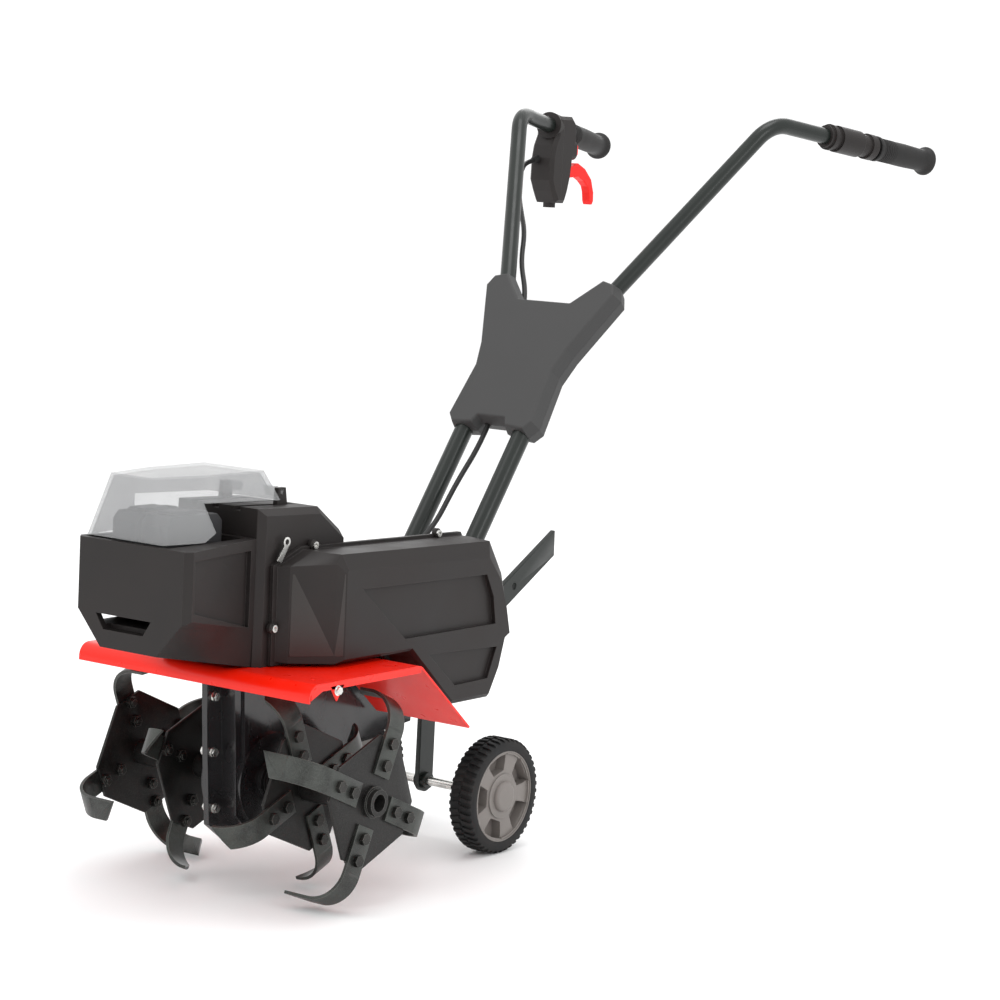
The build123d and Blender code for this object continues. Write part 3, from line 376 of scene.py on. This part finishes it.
def settle(piece, body, slot, look=None, smooth_angle=32.0):
    """Shade, colour and hang a finished piece on its body; look is a material other than the slot's."""
    for polygon in piece.data.polygons:
        polygon.use_smooth = True
    piece.data.set_sharp_from_angle(angle=math.radians(smooth_angle))
    finish(piece, look or slot)
    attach(piece, body)


def apply_modifiers(piece):
    """Turn what the modifiers of a piece make into its own mesh."""
    graph = bpy.context.evaluated_depsgraph_get()
    mesh = bpy.data.meshes.new_from_object(piece.evaluated_get(graph))
    piece.modifiers.clear()
    piece.data = mesh


WELD_DISTANCE = 0.002 * MM
COPLANAR_DEGREES = 0.8
SHARP_DEGREES = 25.0


def bevel_long_edges(piece, width, least_length, segments):
    """Round every sharp edge that is long enough to take the width."""
    mesh = bmesh.new()
    mesh.from_mesh(piece.data)
    bmesh.ops.remove_doubles(mesh, verts=mesh.verts, dist=WELD_DISTANCE)
    bmesh.ops.dissolve_limit(
        mesh, angle_limit=math.radians(COPLANAR_DEGREES), verts=mesh.verts, edges=mesh.edges,
    )
    weights = mesh.edges.layers.float.new("bevel_weight_edge")
    for edge in mesh.edges:
        sharp = len(edge.link_faces) == 2 and edge.calc_face_angle(0.0) > math.radians(SHARP_DEGREES)
        edge[weights] = 1.0 if sharp and edge.calc_length() > least_length else 0.0
    mesh.to_mesh(piece.data)
    mesh.free()
    bevel = piece.modifiers.new("round", "BEVEL")
    bevel.limit_method = "WEIGHT"
    bevel.width = width
    bevel.segments = segments
    bevel.use_clamp_overlap = False
    bevel.harden_normals = False
    apply_modifiers(piece)


def show_rounded(node, width, least_length, segments):
    """A copy of a CAD node with rounded long edges, shown in its place."""
    piece = add_object(f"{node}_moulded", frame["nodes"][node].data.copy())
    bevel_long_edges(piece, width, least_length, segments)
    settle(piece, frame["nodes"][node]["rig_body"], SLOT_OF[node], smooth_angle=38.0)
    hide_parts(node)


def join_rings(mesh, first, second):
    """Faces between two rings with as many vertices each."""
    count = len(first)
    for k in range(count):
        after = (k + 1) % count
        mesh.faces.new((first[k], first[after], second[after], second[k]))


def bevel_all(mesh, width, segments):
    """Round every edge."""
    bmesh.ops.bevel(
        mesh, geom=mesh.edges[:], offset=width, segments=segments, affect="EDGES", clamp_overlap=True,
    )


def revolved(name, outline, centre, axis, steps=72):
    """A closed surface turned about an axis; the outline is a list of (along, radius)."""
    along = axis.normalized()
    across = along.orthogonal().normalized()
    third = along.cross(across)
    mesh = bmesh.new()
    rings = []
    for distance, radius in outline:
        ring = []
        for step in range(steps):
            angle = 2.0 * math.pi * step / steps
            spoke = math.cos(angle) * across + math.sin(angle) * third
            ring.append(mesh.verts.new(centre + distance * along + radius * spoke))
        rings.append(ring)
    closed = outline[0] == outline[-1]
    if closed:
        for vertex in rings[-1]:
            mesh.verts.remove(vertex)
        rings[-1] = rings[0]
    for first, second in zip(rings, rings[1:]):
        join_rings(mesh, first, second)
    if not closed:
        mesh.faces.new(list(reversed(rings[0])))
        mesh.faces.new(rings[-1])
    bmesh.ops.recalc_face_normals(mesh, faces=mesh.faces)
    return add_built(name, mesh)


def prism(name, outline, low_x, high_x, width):
    """A (Y, Z) outline between two X planes, with rounded edges."""
    mesh = bmesh.new()
    ends = []
    for x in (low_x, high_x):
        ends.append([mesh.verts.new((x, y, z)) for y, z in outline])
    mesh.faces.new(list(reversed(ends[0])))
    mesh.faces.new(ends[1])
    join_rings(mesh, *ends)
    bmesh.ops.recalc_face_normals(mesh, faces=mesh.faces)
    bevel_all(mesh, width, 2)
    return add_built(name, mesh)


def soft_block(name, low, high, width, taper, segments=3):
    """A rounded block between two corners, its top drawn in by the taper."""
    mesh = bmesh.new()
    corners = []
    for z, inset in ((low[2], 0.0), (high[2], taper)):
        for x, y in ((low[0] + inset, low[1] + inset), (high[0] - inset, low[1] + inset),
                     (high[0] - inset, high[1] - inset), (low[0] + inset, high[1] - inset)):
            corners.append(mesh.verts.new((x, y, z)))
    for face in ((0, 3, 2, 1), (4, 5, 6, 7), (0, 1, 5, 4), (1, 2, 6, 5), (2, 3, 7, 6), (3, 0, 4, 7)):
        mesh.faces.new([corners[k] for k in face])
    bevel_all(mesh, width, segments)
    return add_built(name, mesh)


# ---- bars, packs and tines with rounded edges --------------------------------

for node_name, edge_width, shortest in (
    ("drag_stake", 0.8 * MM, 20 * MM),
    ("wheel_post", 1.0 * MM, 20 * MM),
    ("battery_left", 1.5 * MM, 12 * MM),
    ("battery_right", 1.5 * MM, 12 * MM),
):
    show_rounded(node_name, edge_width, shortest, 3)
for row in ("outer_left", "inner_left", "outer_right", "inner_right"):
    show_rounded(f"tine_plate_{row}", 0.6 * MM, 9 * MM, 2)
    show_rounded(f"tine_blades_{row}", 0.5 * MM, 12 * MM, 2)

# ---- wheels ------------------------------------------------------------------

BEAD_DEPTH = 16.4 * MM      # from the tread's top down to the rim
LUGS = 46
LUG_HEIGHT = 2.4 * MM
LUG_HALF_ANGLE = 0.032
LUG_SWEEP = 0.03
LUG_ROUNDING = 0.35 * MM


def make_tyre(side, sign):
    """Rounded carcass with two staggered rows of lugs, and the lip of the rim."""
    low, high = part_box(f"tyre_{side}")
    centre = (low + high) / 2
    half = (high.x - low.x) / 2
    radius = (high.z - low.z) / 2
    bead = radius - BEAD_DEPTH
    base = radius - LUG_HEIGHT
    outline = [
        (-half + 1.5 * MM, bead), (-half + 0.3 * MM, bead + 1.5 * MM), (-half, bead + 5 * MM),
        (-half + 0.2 * MM, base - 4.5 * MM), (-half + 1.4 * MM, base - 1.6 * MM),
        (-half + 3.6 * MM, base - 0.2 * MM), (-1.0 * MM, base), (0.0, base - 1.0 * MM),
    ]
    outline += [(-along, r) for along, r in reversed(outline[:-1])]
    outline.append(outline[0])
    tyre = revolved(f"tyre_{side}_rubber", outline, centre, X_AXIS, 144)
    mesh = bmesh.new()
    for row in (1.0, -1.0):
        for lug in range(LUGS):
            turn = 2.0 * math.pi * (lug + (0.5 if row > 0 else 0.0)) / LUGS
            add_lug(mesh, centre, turn, row, half, base, radius)
    bmesh.ops.recalc_face_normals(mesh, faces=mesh.faces)
    bevel_all(mesh, LUG_ROUNDING, 1)
    settle(add_built(f"tyre_{side}_lugs", mesh), f"wheel_{side}", "tyre_rubber")
    settle(tyre, f"wheel_{side}", "tyre_rubber")
    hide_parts(f"tyre_{side}")
    lip = [
        (sign * (half - 1.9 * MM), bead + 0.6 * MM), (sign * (half - 0.9 * MM), bead + 0.5 * MM),
        (sign * (half - 0.6 * MM), bead - 0.3 * MM), (sign * (half - 0.9 * MM), bead - 1.1 * MM),
        (sign * (half - 1.9 * MM), bead - 1.2 * MM), (sign * (half - 1.9 * MM), bead + 0.6 * MM),
    ]
    settle(revolved(f"rim_{side}_ring", lip, centre, X_AXIS, 144), f"wheel_{side}", "rim_grey")


def add_lug(mesh, centre, turn, row, half, base, radius):
    """One tread lug, slightly swept back towards the shoulder."""
    corners = []
    for along, drop, lean in (
        (1.4 * MM, 0.0, 0.0),
        (half - 4.5 * MM, 0.0, LUG_SWEEP),
        (half - 1.0 * MM, 2.6 * MM, LUG_SWEEP),
    ):
        for r in (base - 1.5 * MM - drop, radius - 0.02 * MM - drop * 0.8):
            for edge in (-1.0, 1.0):
                angle = turn + lean + edge * LUG_HALF_ANGLE
                corners.append(mesh.verts.new((
                    centre.x + row * along,
                    centre.y + r * math.cos(angle),
                    centre.z + r * math.sin(angle),
                )))
    inner, middle, outer = corners[0:4], corners[4:8], corners[8:12]
    mesh.faces.new((inner[0], inner[1], inner[3], inner[2]))
    mesh.faces.new((outer[0], outer[2], outer[3], outer[1]))
    for a, b in ((inner, middle), (middle, outer)):
        for first, second in ((0, 1), (1, 3), (3, 2), (2, 0)):
            mesh.faces.new((a[first], b[first], b[second], a[second]))


for side, sign in SIDES:
    make_tyre(side, sign)

# ---- grips and cable ends ----------------------------------------------------

# The left tube's bend and its end; the right one mirrors them. A grip starts so far past the bend.
GRIP_CORNER = Vector((0.2112, 0.3461, 0.9574))
GRIP_END = Vector((0.2823, 0.6539, 0.9171))
GRIP_START = {"left": 0.208, "right": 0.174}
GRIP_CAP = 4 * MM
GRIP_BORE = 10.8 * MM
GRIP_SWELL = 0.9 * MM
GRIP_RIBS = 7
RIB_PITCH = 3.6 * MM


def make_grip(side, sign):
    """Soft grip with a palm swell, a ribbed front and flared ends."""
    flip = Vector((sign, 1.0, 1.0))
    corner, end = GRIP_CORNER * flip, GRIP_END * flip
    axis = (end - corner).normalized()
    length = (end - corner).length - GRIP_START[side] + GRIP_CAP
    collar_end, body_end = 7.0 * MM, length - 11 * MM
    outline = [
        (0.0, GRIP_BORE), (0.0, 17.0 * MM), (0.8 * MM, 17.7 * MM), (5.0 * MM, 17.7 * MM),
        (6.2 * MM, 17.0 * MM), (collar_end, 15.6 * MM),
    ]
    for k in range(1, 15):
        share = k / 15
        swell = GRIP_SWELL * math.sin(math.pi * share) ** 2
        outline.append((collar_end + (body_end - collar_end) * share, 15.5 * MM + swell))
    outline += [
        (body_end, 15.8 * MM), (length - 9 * MM, 17.5 * MM), (length - 7 * MM, 19.6 * MM),
        (length - 4.5 * MM, 20.4 * MM), (length - 1.8 * MM, 20.0 * MM), (length, 17.5 * MM),
        (length, 6.0 * MM),
    ]
    start = corner + axis * GRIP_START[side]
    grip = revolved(f"grip_{side}_rubber", outline, start, axis, 96)
    settle(grip, "chassis", "grip_rubber", smooth_angle=40.0)
    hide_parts(f"grip_{side}")
    for k in range(GRIP_RIBS):
        place = 12 * MM + RIB_PITCH * k
        rib = [
            (place, 15.2 * MM), (place + 0.5 * MM, 16.3 * MM), (place + 1.5 * MM, 16.3 * MM),
            (place + 2.0 * MM, 15.2 * MM), (place, 15.2 * MM),
        ]
        settle(revolved(f"grip_{side}_rib_{k + 1}", rib, start, axis, 72), "chassis", "grip_rubber")


for side, sign in SIDES:
    make_grip(side, sign)

BOOT_BORE = 3.6 * MM
BOOT_COLLAR = 2.5 * MM
BOOT_RINGS = 5
BOOT_GROOVE = 0.9 * MM


def strain_relief(name, mouth, axis, length, thick, thin):
    """Tapered, ringed boot where the cable leaves a housing."""
    outline = [(0.0, BOOT_BORE), (0.0, thick), (BOOT_COLLAR, thick)]
    for k in range(BOOT_RINGS):
        share = (k + 1) / BOOT_RINGS
        radius = thick + (thin - thick) * share
        place = BOOT_COLLAR + (length - BOOT_COLLAR) * share
        outline += [
            (place - 3.2 * MM, radius - BOOT_GROOVE), (place - 2.6 * MM, radius),
            (place - 0.9 * MM, radius), (place - 0.3 * MM, radius - BOOT_GROOVE),
        ]
    outline += [(length, thin - BOOT_GROOVE), (length, BOOT_BORE), (0.0, BOOT_BORE)]
    settle(revolved(name, outline, mouth, axis, 40), "chassis", "cable_rubber")


# The cable's ends: where it leaves each housing, and its direction there.
SWITCH_EXIT, SWITCH_WAY = Vector((-0.2487, 0.4475, 0.8923)), Vector((0.074, -0.983, -0.172))
strain_relief("switch_cable_boot", SWITCH_EXIT, SWITCH_WAY, 14 * MM, 6.0 * MM, 4.8 * MM)
HOUSING_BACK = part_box("motor_housing")[1].y
MOTOR_EXIT, MOTOR_WAY = Vector((0.002, HOUSING_BACK + 0.0005, 0.376)), Vector((0.01, 1.0, -0.03))
strain_relief("motor_cable_boot", MOTOR_EXIT, MOTOR_WAY, 24 * MM, 6.4 * MM, 4.6 * MM)

# ---- belt cover, deck and battery details ------------------------------------

# Slanting facet at the front of the cover: its two upright edges as (x, y), and its height range.
FACET_START, FACET_END = Vector((0.090, -0.486)), Vector((0.131, -0.4295))
FACET_LOW, FACET_HIGH = 0.2975, 0.3965
# The panel's layers, as (height over the facet, margin inside its outline).
PANEL_LAYERS = ((-0.4 * MM, 0.0), (0.35 * MM, 0.0), (0.6 * MM, 0.8 * MM))
PANEL_START, PANEL_END = 0.03, 0.97


def cover_strip():
    """Fine-grained panel that fills the cover's slanting front facet."""
    run = FACET_END - FACET_START
    out = Vector((run.y, -run.x)).normalized()
    mesh = bmesh.new()
    layers = []
    for lift, margin in PANEL_LAYERS:
        ring = []
        for share, z in (
            (PANEL_START, FACET_LOW), (PANEL_END, FACET_LOW),
            (PANEL_END, FACET_HIGH), (PANEL_START, FACET_HIGH),
        ):
            inward = margin * (1 if share < 0.5 else -1)
            place = FACET_START + run * share + run.normalized() * inward + out * lift
            ring.append(mesh.verts.new((place.x, place.y, z + (margin if z == FACET_LOW else -margin))))
        layers.append(ring)
    for first, second in zip(layers, layers[1:]):
        join_rings(mesh, first, second)
    mesh.faces.new(list(reversed(layers[0])))
    mesh.faces.new(layers[-1])
    bmesh.ops.recalc_face_normals(mesh, faces=mesh.faces)
    settle(add_built("belt_cover_strip", mesh), "chassis", "black_plastic", "strip")


cover_strip()


# The tab's outline and its bolt, as (y, z).
TAB_OUTLINE = ((-0.516, 0.279), (-0.490, 0.279), (-0.503, 0.260))
TAB_BOLT = (-0.503, 0.273)
TAB_THICKNESS = 2.4 * MM


def add_deck_tab(side, sign):
    """Pointed tab under the deck's side lip, with its hex bolt and washer."""
    deck_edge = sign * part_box("deck")[1].x
    inner_face = deck_edge - sign * TAB_THICKNESS
    settle(prism(f"deck_tab_{side}", TAB_OUTLINE, inner_face, deck_edge, 0.4 * MM), "chassis", "deck_red")
    place = Vector((deck_edge, *TAB_BOLT))
    washer = [
        (0.0, 2.0 * MM), (0.0, 6.0 * MM), (1.0 * MM, 6.2 * MM), (1.3 * MM, 5.6 * MM), (1.3 * MM, 2.0 * MM),
    ]
    settle(revolved(f"deck_washer_{side}", washer, place, sign * X_AXIS, 40), "chassis", "zinc")
    head = [(1.3 * MM, 5.0 * MM), (4.4 * MM, 5.0 * MM), (5.0 * MM, 4.2 * MM)]
    settle(revolved(f"deck_bolt_{side}", head, place, sign * X_AXIS, 6), "chassis", "zinc")


for side, sign in SIDES:
    add_deck_tab(side, sign)


PACK_RIBS = 5


def add_pack_details(side):
    """Stepped crown, latch and ribs on one battery pack."""
    low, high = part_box(f"battery_{side}")
    body = f"pack_{side}"
    sunk = 6 * MM
    crown = soft_block(
        f"battery_{side}_crown",
        (low.x + 5 * MM, low.y + 16 * MM, high.z - sunk),
        (high.x - 5 * MM, high.y - 34 * MM, high.z + 4 * MM), 2.2 * MM, 2 * MM,
    )
    settle(crown, body, "battery_plastic")
    latch = soft_block(
        f"battery_{side}_latch",
        (low.x + 10 * MM, high.y - 27 * MM, high.z - sunk),
        (high.x - 10 * MM, high.y - 15 * MM, high.z + 2 * MM), 1.6 * MM, 1 * MM,
    )
    settle(latch, body, "battery_plastic", "joint_grey")
    for k in range(PACK_RIBS):
        z = high.z - (34 + 6 * k) * MM
        for x0, x1, flank in (
            (high.x - 1 * MM, high.x + 1.2 * MM, "a"),
            (low.x - 1.2 * MM, low.x + 1 * MM, "b"),
        ):
            rib = soft_block(
                f"battery_{side}_rib_{flank}{k + 1}",
                (x0, low.y + 22 * MM, z), (x1, high.y - 22 * MM, z + 3 * MM), 0.5 * MM, 0.0, 1,
            )
            settle(rib, body, "battery_plastic")


for side, _ in SIDES:
    add_pack_details(side)

# ---- floor and light ---------------------------------------------------------

FLOOR_HALF = 30.0
WORLD_STRENGTH = 1.1
LAMP_TARGET = Vector((0.0, 0.0, 0.4))
LAMPS = (
    # name, place, width, watts
    ("key", Vector((-1.2, -2.6, 3.2)), 2.2, 26.0),
    ("side", Vector((3.4, -0.6, 2.0)), 1.2, 20.0),
    ("back", Vector((-1.5, 3.2, 2.4)), 2.0, 20.0),
    ("top", Vector((0.3, 0.2, 3.6)), 1.6, 30.0),
)


def make_floor():
    """Plain pale floor."""
    corners = [(x * FLOOR_HALF, y * FLOOR_HALF, 0) for x, y in ((-1, -1), (1, -1), (1, 1), (-1, 1))]
    mesh = bpy.data.meshes.new("floor")
    mesh.from_pydata(corners, [], [(0, 1, 2, 3)])
    floor = add_object("floor", mesh)
    surface = Surface("floor_paint", 0.6)
    clouds = surface.spread(surface.grains(1.5, 2.0), 0.3, 0.7, 0.0, 1.0)
    surface.colour(surface.mix(clouds, (0.93, 0.93, 0.935), (0.95, 0.95, 0.95)))
    mesh.materials.append(surface.material)


def make_light():
    """White surroundings and broad soft lamps."""
    world = bpy.data.worlds.new("studio")
    bpy.context.scene.world = world
    world.use_nodes = True
    background = world.node_tree.nodes["Background"]
    background.inputs["Color"].default_value = (1.0, 1.0, 1.0, 1.0)
    background.inputs["Strength"].default_value = WORLD_STRENGTH
    for name, place, width, power in LAMPS:
        data = bpy.data.lights.new(name, "AREA")
        data.energy = power
        data.size = width
        lamp = bpy.data.objects.new(name, data)
        lamp.location = place
        lamp.rotation_euler = (LAMP_TARGET - place).to_track_quat("-Z", "Y").to_euler()
        bpy.context.scene.collection.objects.link(lamp)
    bpy.context.scene.view_settings.view_transform = "Standard"


make_floor()
make_light()
